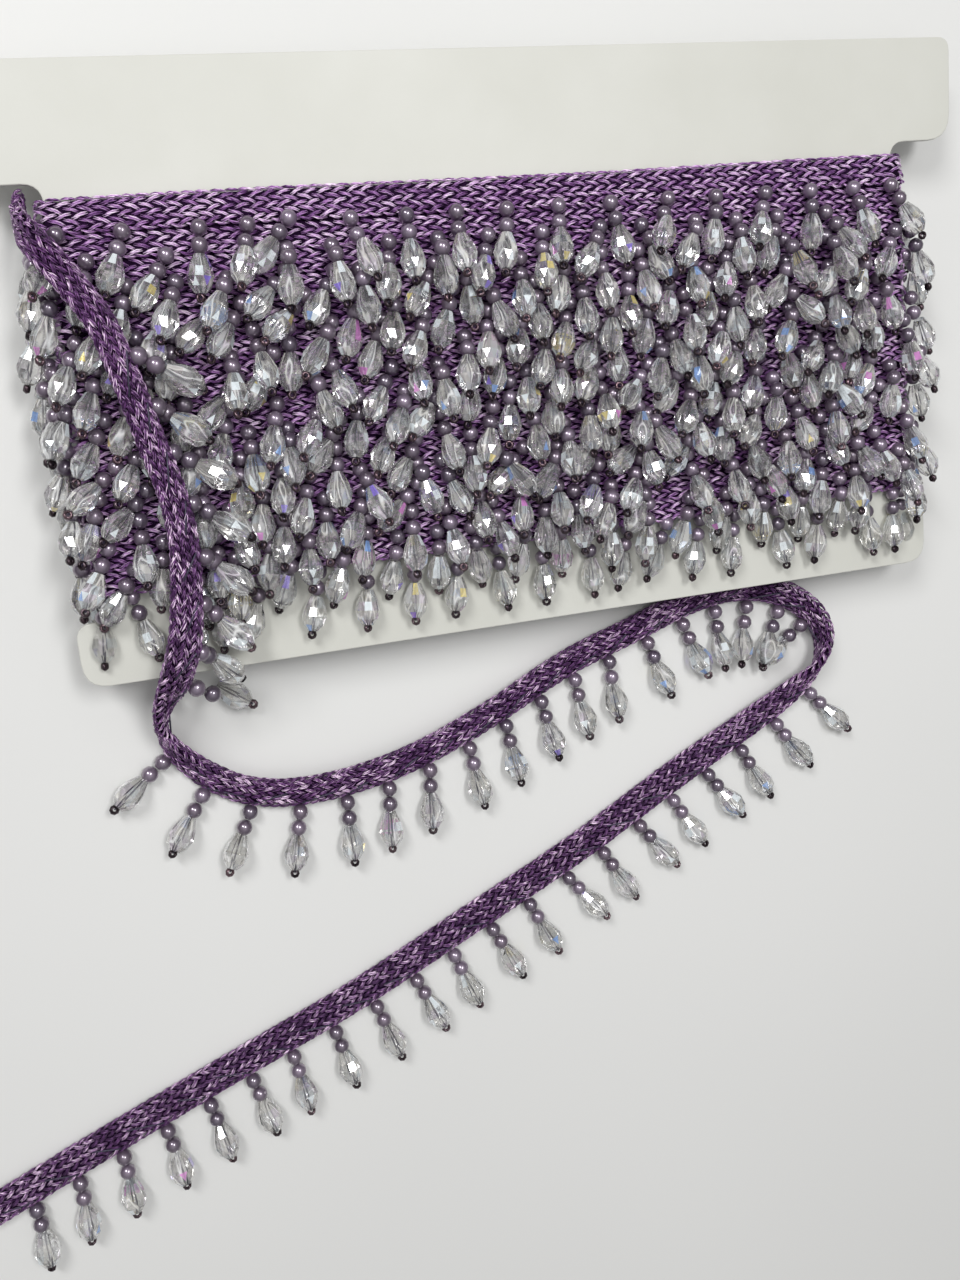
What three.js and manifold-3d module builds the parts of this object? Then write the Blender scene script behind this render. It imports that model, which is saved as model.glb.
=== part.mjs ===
// Beaded fringe trim wound on a notched card, its loose end laid out in front of the card.
// Millimetres. +X runs along the card, +Y towards the card's wide bar, +Z out of the card's face.
// The origin lies on the surface that the pack rests on, under the middle of the card.

import * as THREE from 'three';
import { mergeVertices } from 'three/addons/utils/BufferGeometryUtils.js';
import Module from 'manifold-3d';

const wasm = await Module();
wasm.setup();

// Driving sizes

const GAP = 0.3;
const TAPE = { width: 9.2, thickness: 3.4, tucked: 1.6 };
const DROP = { spacing: 15.1, length: 20.4 };
const CARD = {
  thickness: 1.7,
  halfHeight: 82,
  barHalf: 148,
  waistHalf: 126.3,
  tabHalf: 137,
  barShoulder: 52,
  tabShoulder: -63.5,
  round: { tabLow: 7, tabTop: 5, notchLow: 3, notchTop: 5, barLow: 8, barTop: 4 },
};
const PACK = { turns: 15, pitch: 6.8, top: 48, dropsAcross: 17 };
const BACK_BEADS = { depth: 10.6, valley: 3.2, columns: 16, rows: 7, halfWidth: 123, top: 40, bottom: -66 };
const STRIP = { width: 1.4, height: 1.2 };

// Heights of the layers, from the surface up

const backTapeZ = BACK_BEADS.depth + GAP;
const cardZ = backTapeZ + TAPE.thickness + GAP;
const cardFaceZ = cardZ + CARD.thickness;
const ridgeZ = cardFaceZ + GAP + TAPE.thickness;
const turnLowerEdge = (turn) => PACK.top - TAPE.width - PACK.pitch * turn;

// Materials

function finish(colour, roughness, metalness = 0) {
  return new THREE.MeshStandardMaterial({ color: colour, roughness, metalness });
}

const paperboard = finish('#dcdcd8', 0.75);
const violetYarn = finish('#6a4476', 0.6);
const beadMix = finish('#8f8896', 0.25);

// Solids from points

// Closed loft through rings of equal length, capped at both ends, faces turned outwards.
function loft(rings) {
  const count = rings[0].length;
  const positions = rings.flat().flatMap((point) => [point.x, point.y, point.z]);
  const triangles = [];
  for (let ring = 0; ring + 1 < rings.length; ring += 1) {
    for (let side = 0; side < count; side += 1) {
      const next = (side + 1) % count;
      const a = ring * count + side;
      const b = ring * count + next;
      triangles.push(a, b, b + count, a, b + count, a + count);
    }
  }
  const last = (rings.length - 1) * count;
  for (let corner = 1; corner + 1 < count; corner += 1) {
    triangles.push(0, corner + 1, corner);
    triangles.push(last, last + corner, last + corner + 1);
  }
  return outwards(positions, triangles);
}

// Six times the signed volume says which way the faces point.
function outwards(positions, triangles) {
  const corner = (index) => new THREE.Vector3().fromArray(positions, index * 3);
  let volume = 0;
  for (let start = 0; start < triangles.length; start += 3) {
    const [a, b, c] = triangles.slice(start, start + 3).map(corner);
    volume += a.dot(b.cross(c));
  }
  if (volume < 0) triangles.reverse();
  const geometry = new THREE.BufferGeometry();
  geometry.setAttribute('position', new THREE.Float32BufferAttribute(positions, 3));
  geometry.setIndex(triangles);
  return geometry;
}

function solid(geometry) {
  const bare = geometry.clone();
  bare.deleteAttribute('normal');
  bare.deleteAttribute('uv');
  const merged = mergeVertices(bare, 1e-4);
  const vertProperties = new Float32Array(merged.attributes.position.array);
  const triVerts = new Uint32Array(merged.index.array);
  return new wasm.Manifold(new wasm.Mesh({ numProp: 3, vertProperties, triVerts }));
}

// One solid of a backing strip and the strands rooted in it.
function joined(geometries) {
  const whole = geometries.map(solid).reduce((sum, piece) => sum.add(piece));
  const mesh = whole.getMesh();
  const geometry = new THREE.BufferGeometry();
  geometry.setAttribute('position', new THREE.BufferAttribute(mesh.vertProperties, 3));
  geometry.setIndex(new THREE.BufferAttribute(mesh.triVerts, 1));
  return geometry;
}

function named(name, geometry, material) {
  geometry.computeVertexNormals();
  const mesh = new THREE.Mesh(geometry, material);
  mesh.name = name;
  return mesh;
}

// Card: a flat board with a wide bar on top, a waist that the trim fills and a tab below

function roundedOutline(corners) {
  const shape = new THREE.Shape();
  corners.forEach(([x, y, radius], index) => {
    const here = new THREE.Vector2(x, y);
    const before = new THREE.Vector2(...corners.at(index - 1).slice(0, 2));
    const after = new THREE.Vector2(...corners[(index + 1) % corners.length].slice(0, 2));
    const start = here.clone().add(before.sub(here).setLength(radius));
    const end = here.clone().add(after.sub(here).setLength(radius));
    if (index === 0) shape.moveTo(start.x, start.y);
    else shape.lineTo(start.x, start.y);
    shape.quadraticCurveTo(x, y, end.x, end.y);
  });
  shape.closePath();
  return shape;
}

function windingCard() {
  const { halfHeight, barHalf, waistHalf, tabHalf, barShoulder, tabShoulder, round } = CARD;
  const right = [
    [tabHalf, -halfHeight, round.tabLow],
    [tabHalf, tabShoulder, round.tabTop],
    [waistHalf, tabShoulder, round.notchLow],
    [waistHalf, barShoulder, round.notchTop],
    [barHalf, barShoulder, round.barLow],
    [barHalf, halfHeight, round.barTop],
  ];
  const left = right.map(([x, y, radius]) => [-x, y, radius]).reverse();
  const board = new THREE.ExtrudeGeometry(roundedOutline([...right, ...left]), {
    depth: CARD.thickness,
    bevelEnabled: false,
    curveSegments: 5,
  });
  board.translate(0, 0, cardZ);
  return named('winding_card', board, paperboard);
}

// Wound tape: one ring round the waist, each turn a ridge whose lower edge lies on the next turn

function woundProfile() {
  const profile = [[PACK.top, GAP], [PACK.top, GAP + TAPE.tucked]];
  for (let turn = 0; turn < PACK.turns; turn += 1) {
    const edge = turnLowerEdge(turn);
    profile.push([edge, GAP + TAPE.thickness]);
    profile.push([edge, turn + 1 < PACK.turns ? GAP + TAPE.tucked : GAP]);
  }
  return profile;
}

function woundTape() {
  const profile = woundProfile();
  const middleZ = cardZ + CARD.thickness / 2;
  const halfThick = CARD.thickness / 2;
  const cornerAngles = [0, 30, 60, 90].map(THREE.MathUtils.degToRad);
  const quarter = cornerAngles.map((angle) => [Math.cos(angle), Math.sin(angle)]);
  const upper = [...quarter, ...quarter.map(([across, up]) => [-across, up]).reverse()];
  const around = [...upper, ...upper.map(([across, up]) => [-across, -up])];
  const edgeX = (index) => (index < 4 || index > 11 ? CARD.waistHalf : -CARD.waistHalf);
  const edgeZ = (index) => (index < 8 ? middleZ + halfThick : middleZ - halfThick);
  const rings = around.map(([across, up], index) => profile.map(([y, out]) => (
    new THREE.Vector3(edgeX(index) + across * out, y, edgeZ(index) + up * out)
  )));
  const count = profile.length;
  const positions = rings.flat().flatMap((point) => [point.x, point.y, point.z]);
  const triangles = [];
  rings.forEach((ring, index) => {
    const following = (index + 1) % rings.length;
    for (let side = 0; side < count; side += 1) {
      const next = (side + 1) % count;
      const a = index * count + side;
      const b = index * count + next;
      const c = following * count + next;
      const d = following * count + side;
      triangles.push(a, b, c, a, c, d);
    }
  });
  return named('wound_tape', outwards(positions, triangles), violetYarn);
}

// Drops: a strand of four sides with its two pearls, its glass teardrop and its seed bead

const STRAND = [
  { along: 0, half: 0.6 },
  { along: 5.2, half: 1.7 },
  { along: 13.8, half: 2.5 },
  { along: DROP.length - 1, half: 0.8 },
];

// Square sections across the strand, level with the surface it lies on.
function strand(root, heading, heights) {
  const side = new THREE.Vector3(-heading.y, heading.x, 0);
  const rings = STRAND.map(({ along, half }, index) => {
    const centre = root.clone().addScaledVector(heading, along);
    centre.z = heights[index];
    return [[-1, -1], [1, -1], [1, 1], [-1, 1]].map(([across, up]) => (
      centre.clone().addScaledVector(side, across * half).add(new THREE.Vector3(0, 0, up * half))
    ));
  });
  return loft(rings);
}

// A small even scatter between -1 and 1, the same every time.
function scatter(first, second) {
  const wave = Math.sin(first * 12.9898 + second * 78.233) * 43758.5453;
  return 2 * (wave - Math.floor(wave)) - 1;
}

// Loose end: route of the tape's middle on the surface

// x, y: place. lift: height of what it lies on there. roll: turn of the beaded edge about
// the tape, 0 with that edge level on the left of the way it runs, -90 with it underneath.
const ROUTE = [
  { x: -132.6, y: 47.2, lift: 7.4, roll: 90 },
  { x: -132.9, y: 43, lift: 14, roll: 82 },
  { x: -131.2, y: 38.6, lift: 22.6, roll: 50 },
  { x: -127.4, y: 33, lift: 28.3, roll: 18 },
  { x: -122.4, y: 25.5, lift: 29.8, roll: 0 },
  { x: -116.6, y: 15, lift: 29.8, roll: 0 },
  { x: -112.4, y: 0, lift: 29.8, roll: 0 },
  { x: -109, y: -15, lift: 29.8, roll: 0 },
  { x: -105.8, y: -29, lift: 29.8, roll: 0 },
  { x: -104.6, y: -43, lift: 29.8, roll: 0 },
  { x: -106, y: -57, lift: 29.8, roll: 0 },
  { x: -108.4, y: -70, lift: 29.8, roll: 0 },
  { x: -112.6, y: -81.8, lift: 21.8, roll: -24 },
  { x: -116.6, y: -91.4, lift: 8.6, roll: -62 },
  { x: -118.2, y: -100, lift: 0.6, roll: -98 },
  { x: -114.8, y: -108.2, lift: 0.1, roll: -128 },
  { x: -107, y: -117, lift: 0.1, roll: -146 },
  { x: -97, y: -123.6, lift: 0.1, roll: -154 },
  { x: -84, y: -127, lift: 0.1, roll: -156 },
  { x: -66, y: -127, lift: 0.1, roll: -156 },
  { x: -44, y: -123, lift: 0.1, roll: -156 },
  { x: -18, y: -113.5, lift: 0.1, roll: -156 },
  { x: 10, y: -100.6, lift: 0.1, roll: -156 },
  { x: 34, y: -93, lift: 0.1, roll: -156 },
  { x: 54, y: -86.6, lift: 0.1, roll: -156 },
  { x: 70, y: -84.2, lift: 0.1, roll: -154 },
  { x: 85, y: -86.6, lift: 0.1, roll: -148 },
  { x: 97, y: -93.6, lift: 0.1, roll: -128 },
  { x: 103, y: -103.6, lift: 0.1, roll: -98 },
  { x: 101.4, y: -114.6, lift: 0.1, roll: -60 },
  { x: 93, y: -123, lift: 0.1, roll: -26 },
  { x: 76, y: -132.4, lift: 0.1, roll: -8 },
  { x: 46, y: -147, lift: 0.1, roll: 0 },
  { x: 10, y: -165.4, lift: 0.1, roll: 0 },
  { x: -32, y: -184, lift: 0.1, roll: 0 },
  { x: -74, y: -202, lift: 0.1, roll: 0 },
  { x: -116, y: -217, lift: 0.1, roll: 0 },
  { x: -156, y: -231.6, lift: 0.1, roll: 0 },
  { x: -194, y: -246, lift: 0.1, roll: 0 },
];

// Height of the tape's middle when it is rolled by an angle on a surface. With its beaded
// edge underneath it stands on the strip that holds the drops.
function middleHeight(roll) {
  const angle = THREE.MathUtils.degToRad(roll);
  const standing = Math.abs(Math.sin(angle));
  const lying = Math.abs(Math.cos(angle));
  const onTape = (TAPE.width * standing + TAPE.thickness * lying) / 2;
  const onStrip = (TAPE.width / 2 + GAP + STRIP.width) * standing + STRIP.height / 2 * lying;
  return roll < 0 ? Math.max(onTape, onStrip) : onTape;
}

class TapePath extends THREE.CatmullRomCurve3 {
  constructor(route) {
    const points = route.map(({ x, y, lift, roll }) => new THREE.Vector3(x, y, lift + middleHeight(roll)));
    super(points, false, 'catmullrom', 0.5);
    this.rolls = route.map(({ roll }) => roll);
    this.lifts = route.map(({ lift }) => lift);
    this.arcLengthDivisions = 2000;
  }

  // A value of the route's table at a share of the length.
  between(values, share) {
    const place = this.getUtoTmapping(share) * (values.length - 1);
    const index = Math.min(Math.floor(place), values.length - 2);
    return THREE.MathUtils.lerp(values[index], values[index + 1], place - index);
  }

  // Directions at a share of the length: along the tape, to its beaded edge, out of its face.
  frameAt(share) {
    const along = this.getTangentAt(share);
    const left = new THREE.Vector3(-along.y, along.x, 0).normalize();
    const up = along.clone().cross(left);
    const angle = THREE.MathUtils.degToRad(this.between(this.rolls, share));
    const edge = left.multiplyScalar(Math.cos(angle)).addScaledVector(up, Math.sin(angle));
    return { along, edge, face: along.clone().cross(edge) };
  }

  computeFrenetFrames(segments) {
    const frames = Array.from({ length: segments + 1 }, (_, step) => this.frameAt(step / segments));
    return {
      tangents: frames.map(({ along }) => along),
      normals: frames.map(({ edge }) => edge),
      binormals: frames.map(({ face }) => face),
    };
  }
}

const path = new TapePath(ROUTE);
const pathLength = path.getLength();

function looseTape() {
  const halfWidth = TAPE.width / 2;
  const halfThick = TAPE.thickness / 2;
  const flatShare = 0.62;
  const steps = 78;
  const section = [
    [halfWidth, 0], [halfWidth * flatShare, halfThick], [0, halfThick], [-halfWidth * flatShare, halfThick],
    [-halfWidth, 0], [-halfWidth * flatShare, -halfThick], [0, -halfThick], [halfWidth * flatShare, -halfThick],
  ];
  const outline = new THREE.Shape(section.map(([x, y]) => new THREE.Vector2(x, y)));
  const tube = new THREE.ExtrudeGeometry(outline, { steps, bevelEnabled: false, extrudePath: path });
  return named('loose_tape', tube, violetYarn);
}

// Fringe of the loose end: strips along its beaded edge, strands lying level on the surface

// start: distance along the tape to the first drop. drops: how many. spacing: from drop to
// drop. lean: degrees that the first and the last drop turn from straight out, towards the
// way the tape runs.
const LOOSE_FRINGE = [
  { start: 55, drops: 7, spacing: 13.4, lean: [-12, -4] },
  { start: 183, drops: 6, spacing: 13.8, lean: [8, -16] },
  { start: 265.8, drops: 6, spacing: 13.8, lean: [-22, -10] },
  { start: 348.6, drops: 6, spacing: 13.8, lean: [4, -4] },
  { start: 444, drops: 7, spacing: 15.1, lean: [-3, -6] },
  { start: 549.7, drops: 7, spacing: 15.1, lean: [-5, 8] },
  { start: 655.4, drops: 7, spacing: 15.1, lean: [9, 18] },
];

function looseFringe({ start, drops, spacing, lean }, number) {
  const end = start + spacing * (drops - 1);
  const margin = 2;
  const scatterAngle = 5;
  const reach = TAPE.width / 2 + GAP + STRIP.width / 2;
  const at = (distance) => {
    const share = distance / pathLength;
    const { along, edge, face } = path.frameAt(share);
    const centre = path.getPointAt(share).addScaledVector(edge, reach);
    return { centre, along, edge, face, lift: path.between(path.lifts, share) };
  };
  const stations = (drops - 1) * 2;
  const strip = loft(Array.from({ length: stations + 1 }, (_, index) => {
    const { centre, edge, face } = at(THREE.MathUtils.lerp(start - margin, end + margin, index / stations));
    return [[-1, -1], [1, -1], [1, 1], [-1, 1]].map(([across, up]) => (
      centre.clone()
        .addScaledVector(edge, across * STRIP.width / 2)
        .addScaledVector(face, up * STRIP.height / 2)
    ));
  }));
  const strands = Array.from({ length: drops }, (_, drop) => {
    const { centre, along, edge, lift } = at(start + spacing * drop);
    const even = THREE.MathUtils.lerp(lean[0], lean[1], drop / (drops - 1));
    const turn = THREE.MathUtils.degToRad(even + scatterAngle * scatter(number, drop));
    const outward = new THREE.Vector3(edge.x, edge.y, 0).setLength(Math.cos(turn));
    const heading = outward.addScaledVector(along.clone().setZ(0).normalize(), Math.sin(turn)).normalize();
    const heights = STRAND.map(({ half }) => lift + half);
    heights[0] = centre.z;
    return strand(centre, heading, heights);
  });
  return named(`loose_fringe_${number + 1}`, joined([strip, ...strands]), beadMix);
}

// Front fringe: a strip along each turn's lower edge, pearls low, glass on top of the next rows

// Places along the loose end, seen from above, where it crosses the pack.
const shareOverPack = 0.28;
const crossing = Array.from({ length: 160 }, (_, index) => {
  const point = path.getPointAt(shareOverPack * index / 160);
  return new THREE.Vector2(point.x, point.y);
});

function underLooseTape(x, y) {
  const probe = new THREE.Vector2(x, y);
  return crossing.some((point) => probe.distanceTo(point) < TAPE.width);
}

// Heights of a front strand over the tape's ridges, at its pearls, its glass and its end.
const PILE_RISE = [2.3, 6.9, 6.6];

function frontFringe(turn) {
  const edgeY = turnLowerEdge(turn) - GAP;
  const rise = (TAPE.thickness - TAPE.tucked) * (GAP + STRIP.width) / PACK.pitch;
  const stripZ = ridgeZ - TAPE.thickness + TAPE.tucked + rise + GAP + STRIP.height / 2;
  const heights = [stripZ, ...PILE_RISE.map((height) => ridgeZ + height)];
  const waver = 0.5;
  const lean = 0.05;
  const [pearlsAt, glassAt] = [4, 13];
  const staggered = turn % 2;
  const count = PACK.dropsAcross - staggered;
  const firstX = -DROP.spacing * (count - 1) / 2;
  const strands = [];
  for (let drop = 0; drop < count; drop += 1) {
    const x = firstX + DROP.spacing * drop + waver * scatter(turn, drop);
    const y = edgeY - STRIP.width / 2;
    if (underLooseTape(x, y - pearlsAt) || underLooseTape(x, y - glassAt)) continue;
    const heading = new THREE.Vector3(lean * scatter(drop, turn), -1, 0).normalize();
    strands.push(strand(new THREE.Vector3(x, y, stripZ), heading, heights));
  }
  const margin = 2;
  const strip = new THREE.BoxGeometry(2 * (CARD.waistHalf - margin), STRIP.width, STRIP.height);
  strip.translate(0, edgeY - STRIP.width / 2, stripZ);
  const number = String(turn + 1).padStart(2, '0');
  return named(`front_fringe_${number}`, joined([strip, ...strands]), beadMix);
}

// Back fringe: the drops behind the card, pressed into one lumpy layer with flat spots below

function backFringe() {
  const { depth, valley, columns, rows, halfWidth, top, bottom } = BACK_BEADS;
  const positions = [];
  const triangles = [];
  const known = new Map();
  const vertex = (x, y, z) => {
    const key = [x, y, z].map((value) => value.toFixed(3)).join();
    if (!known.has(key)) {
      known.set(key, positions.length / 3);
      positions.push(x, y, z);
    }
    return known.get(key);
  };
  const stepX = 2 * halfWidth / columns;
  const stepY = (top - bottom) / rows;
  const bulge = 2.4;
  const flat = { halfX: 3.2, halfY: 3.6, shift: 1.2 };
  const corner = (i, j) => [-halfWidth + stepX * i, bottom + stepY * j];
  const middle = (i, j, di, dj) => {
    const [x, y] = corner(i + di / 2, j + dj / 2);
    const outX = dj ? (i === 0 ? -bulge : i === columns ? bulge : 0) : 0;
    const outY = di ? (j === 0 ? -bulge : j === rows ? bulge : 0) : 0;
    return [x + outX, y + outY];
  };
  const rim = [];
  for (let i = 0; i < columns; i += 1) {
    for (let j = 0; j < rows; j += 1) {
      const ring = [corner(i, j), middle(i, j, 1, 0), corner(i + 1, j), middle(i + 1, j, 0, 1),
        corner(i + 1, j + 1), middle(i, j + 1, 1, 0), corner(i, j + 1), middle(i, j, 0, 1)];
      const outer = ring.map(([x, y]) => vertex(x, y, valley));
      const shiftX = flat.shift * scatter(i, j);
      const shiftY = flat.shift * scatter(j, i);
      const [centreX, centreY] = corner(i + 0.5, j + 0.5);
      const pad = [[-1, -1], [1, -1], [1, 1], [-1, 1]].map(([across, up]) => (
        vertex(centreX + shiftX + across * flat.halfX, centreY + shiftY + up * flat.halfY, 0)
      ));
      triangles.push(pad[0], pad[1], pad[2], pad[0], pad[2], pad[3]);
      pad.forEach((low, index) => {
        const next = pad[(index + 1) % 4];
        const here = outer[index * 2];
        const mid = outer[index * 2 + 1];
        const there = outer[(index * 2 + 2) % 8];
        triangles.push(here, mid, low, mid, next, low, mid, there, next);
      });
    }
  }
  for (let i = 0; i < columns; i += 1) rim.push(corner(i, 0), middle(i, 0, 1, 0));
  for (let j = 0; j < rows; j += 1) rim.push(corner(columns, j), middle(columns, j, 0, 1));
  for (let i = columns; i > 0; i -= 1) rim.push(corner(i, rows), middle(i - 1, rows, 1, 0));
  for (let j = rows; j > 0; j -= 1) rim.push(corner(0, j), middle(0, j - 1, 0, 1));
  const hub = vertex(0, (top + bottom) / 2, depth);
  rim.forEach(([x, y], index) => {
    const [nextX, nextY] = rim[(index + 1) % rim.length];
    const low = vertex(x, y, valley);
    const lowNext = vertex(nextX, nextY, valley);
    const high = vertex(x, y, depth);
    const highNext = vertex(nextX, nextY, depth);
    triangles.push(low, high, lowNext, lowNext, high, highNext, high, hub, highNext);
  });
  return named('back_fringe', outwards(positions, triangles), beadMix);
}

// Assembly

const trim = new THREE.Group();
trim.add(windingCard(), woundTape(), backFringe());
for (let turn = 0; turn < PACK.turns; turn += 1) trim.add(frontFringe(turn));
trim.add(looseTape());
LOOSE_FRINGE.forEach((row, number) => trim.add(looseFringe(row, number)));

export default trim;
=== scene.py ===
# %% [markdown]
# # A beaded fringe trim wound on a card
# The object is a violet knitted tape with bead drops along one edge, wound fifteen times round a notched
# card. Its loose end crosses the front and lies in a loop below. The construction model gives every
# place and size. Here each piece gets its real surface: stitches, pearls, cut glass and board.

import math

import bmesh
import bpy
import numpy as np
from mathutils import Matrix, Vector


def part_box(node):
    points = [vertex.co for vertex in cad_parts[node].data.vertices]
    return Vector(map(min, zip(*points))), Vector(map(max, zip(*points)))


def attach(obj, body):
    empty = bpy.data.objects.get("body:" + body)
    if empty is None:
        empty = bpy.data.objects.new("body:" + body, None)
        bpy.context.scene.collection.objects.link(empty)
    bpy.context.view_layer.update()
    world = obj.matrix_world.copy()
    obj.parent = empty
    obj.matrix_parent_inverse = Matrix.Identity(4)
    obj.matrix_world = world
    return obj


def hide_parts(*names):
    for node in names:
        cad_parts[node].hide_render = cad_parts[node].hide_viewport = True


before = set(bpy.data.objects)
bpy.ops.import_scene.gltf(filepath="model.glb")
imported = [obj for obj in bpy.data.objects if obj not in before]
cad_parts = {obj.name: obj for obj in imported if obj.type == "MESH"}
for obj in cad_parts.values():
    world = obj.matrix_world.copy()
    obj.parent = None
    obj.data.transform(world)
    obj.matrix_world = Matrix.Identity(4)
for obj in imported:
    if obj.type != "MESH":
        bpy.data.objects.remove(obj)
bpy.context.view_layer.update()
MM = 0.001
scene = bpy.context.scene


# %% [markdown]
# ## Small helpers
# A node tree is a list of steps. One function adds a step with its settings and its links, so that a
# material reads from top to bottom. Colours are written as the sRGB hex that a picture editor shows,
# and turned into the linear values that the renderer works with.

# %% Helpers for objects, colours and nodes
def linked(name, data):
    """A mesh, lamp or camera as an object in the scene."""
    made = bpy.data.objects.new(name, data)
    scene.collection.objects.link(made)
    return made


def linear(hex_colour):
    """An sRGB hex colour as linear red, green, blue and an alpha of one."""
    parts = [int(hex_colour[i:i + 2], 16) / 255 for i in (1, 3, 5)]
    return [c / 12.92 if c <= 0.04045 else ((c + 0.055) / 1.055) ** 2.4 for c in parts] + [1.0]


def node(tree, kind, inputs=None, **settings):
    """Adds a node. An input is a plain value, or the output socket that it is linked to."""
    made = tree.nodes.new(kind)
    for name, value in settings.items():
        setattr(made, name, value)
    for key, value in (inputs or {}).items():
        if isinstance(value, bpy.types.NodeSocket):
            tree.links.new(value, made.inputs[key])
        else:
            made.inputs[key].default_value = value
    return made


def ramp(tree, value, stops, blend="LINEAR"):
    """The colour at a value. A stop is a position and a hex colour."""
    made = node(tree, "ShaderNodeValToRGB", {"Fac": value})
    elements = made.color_ramp.elements
    while len(elements) < len(stops):
        elements.new(0.5)
    for element, (position, colour) in zip(elements, stops):
        element.position = position
        element.color = linear(colour)
    made.color_ramp.interpolation = blend
    return made.outputs["Color"]


def arithmetic(tree, operation, *values):
    """One step of arithmetic."""
    return node(tree, "ShaderNodeMath", dict(enumerate(values)), operation=operation).outputs[0]


def stored(tree, name):
    """A value stored on the mesh, such as the tone of each copy of a bead, from 0 to 1."""
    return node(tree, "ShaderNodeAttribute", attribute_name=name).outputs["Fac"]


def in_object(tree):
    """Places in the object's own frame."""
    return node(tree, "ShaderNodeTexCoord").outputs["Object"]


def noise(tree, places, scale, detail=2.0):
    """Cloudy noise from 0 to 1."""
    inputs = {"Vector": places, "Scale": scale, "Detail": detail}
    return node(tree, "ShaderNodeTexNoise", inputs).outputs["Fac"]


def bump(tree, height, strength, depth):
    """A relief that only bends the light."""
    inputs = {"Height": height, "Strength": strength, "Distance": depth}
    return node(tree, "ShaderNodeBump", inputs).outputs[0]


def new_material(name):
    """An empty material and its tree."""
    material = bpy.data.materials.new(name)
    material.use_nodes = True
    material.node_tree.nodes.clear()
    return material, material.node_tree


def surface(material, inputs):
    """Ends a material's tree with one shader that has these inputs."""
    tree = material.node_tree
    shader = node(tree, "ShaderNodeBsdfPrincipled", inputs)
    node(tree, "ShaderNodeOutputMaterial", {"Surface": shader.outputs["BSDF"]})
    return material


def simple_finish(name, stops, looks, grain=None):
    """A finish coloured by each copy's tone or, where grain gives a scale, by noise over the piece."""
    material, tree = new_material(name)
    value = noise(tree, in_object(tree), grain) if grain else stored(tree, "tone")
    return surface(material, {"Base Color": ramp(tree, value, stops), **looks})


# %% [markdown]
# ## Camera
# A camera comes first, because a free length of trim has to lie where the camera sees it. The lens is
# that of a phone held close, about 365 mm from the card, a little to the left of it and tilted some
# nineteen degrees off the straight view down on the card's face.

# %% Camera
CAMERA_PLACE = Vector((-109.6, -8.1, 349.0)) * MM
CAMERA_TARGET = Vector((-23.0, -84.1, 22.0)) * MM
FRAME_TOP = Vector((0.1, 1.0, 0.0))
LONG_SIDE_PIXELS = 1280
FOCAL_PIXELS = 1150

camera_data = bpy.data.cameras.new("camera")
camera_data.sensor_width = 36.0
camera_data.lens = FOCAL_PIXELS / LONG_SIDE_PIXELS * camera_data.sensor_width
camera_data.clip_start = 0.01
camera = linked("camera", camera_data)
back_axis = (CAMERA_PLACE - CAMERA_TARGET).normalized()
right_axis = FRAME_TOP.cross(back_axis).normalized()
up_axis = back_axis.cross(right_axis)
camera_axes = Matrix((right_axis, up_axis, back_axis)).transposed()
camera.matrix_world = Matrix.Translation(CAMERA_PLACE) @ camera_axes.to_4x4()
scene.camera = camera
print("lens, mm:", round(camera_data.lens, 1))

# %% [markdown]
# ## Sizes taken from the model
# The card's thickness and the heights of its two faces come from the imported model, so the stitches and
# beads sit on it with no fitting. The rest are the maker's sizes of the trim itself.

# %% Sizes
card_low, card_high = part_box("winding_card")
_, ring_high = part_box("wound_tape")
GAP = 0.3 * MM
TAPE_WIDTH = 9.2 * MM
TAPE_THICK = 3.4 * MM
WOUND_THICK = TAPE_THICK / 2
TURNS = 15
TURN_PITCH = 6.8 * MM
DROP_SPACING = 15.1 * MM
DROPS_ACROSS = 17
PACKED_SPACING = 13.6 * MM
PACKED_ACROSS = 19
FIRST_EDGE = ring_high.y - TAPE_WIDTH
WAIST_HALF = ring_high.x - TAPE_THICK
CARD_FRONT = card_high.z
CARD_BACK = card_low.z
CARD_MIDDLE = (CARD_FRONT + CARD_BACK) / 2


def lower_edge(turn):
    """Height along the card of a turn's lower edge, the first turn at the top."""
    return FIRST_EDGE - TURN_PITCH * turn


print("first and last edge, mm:", [round(lower_edge(t) / MM, 1) for t in (0, TURNS - 1)])

# %% [markdown]
# ## The loose end's route
# A limp tape lies along one smooth curve, given here by points: over the left edge of the card, down
# across the pack, over the lower tab and onto the surface, round two bends and out to the left. "Lift"
# is the height of what the tape lies on there, and "roll" turns its beaded edge about the way it runs:
# 0 is flat with that edge on the left, -90 stands on the beaded edge. The two half twists are the places
# where the roll passes -90.

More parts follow.
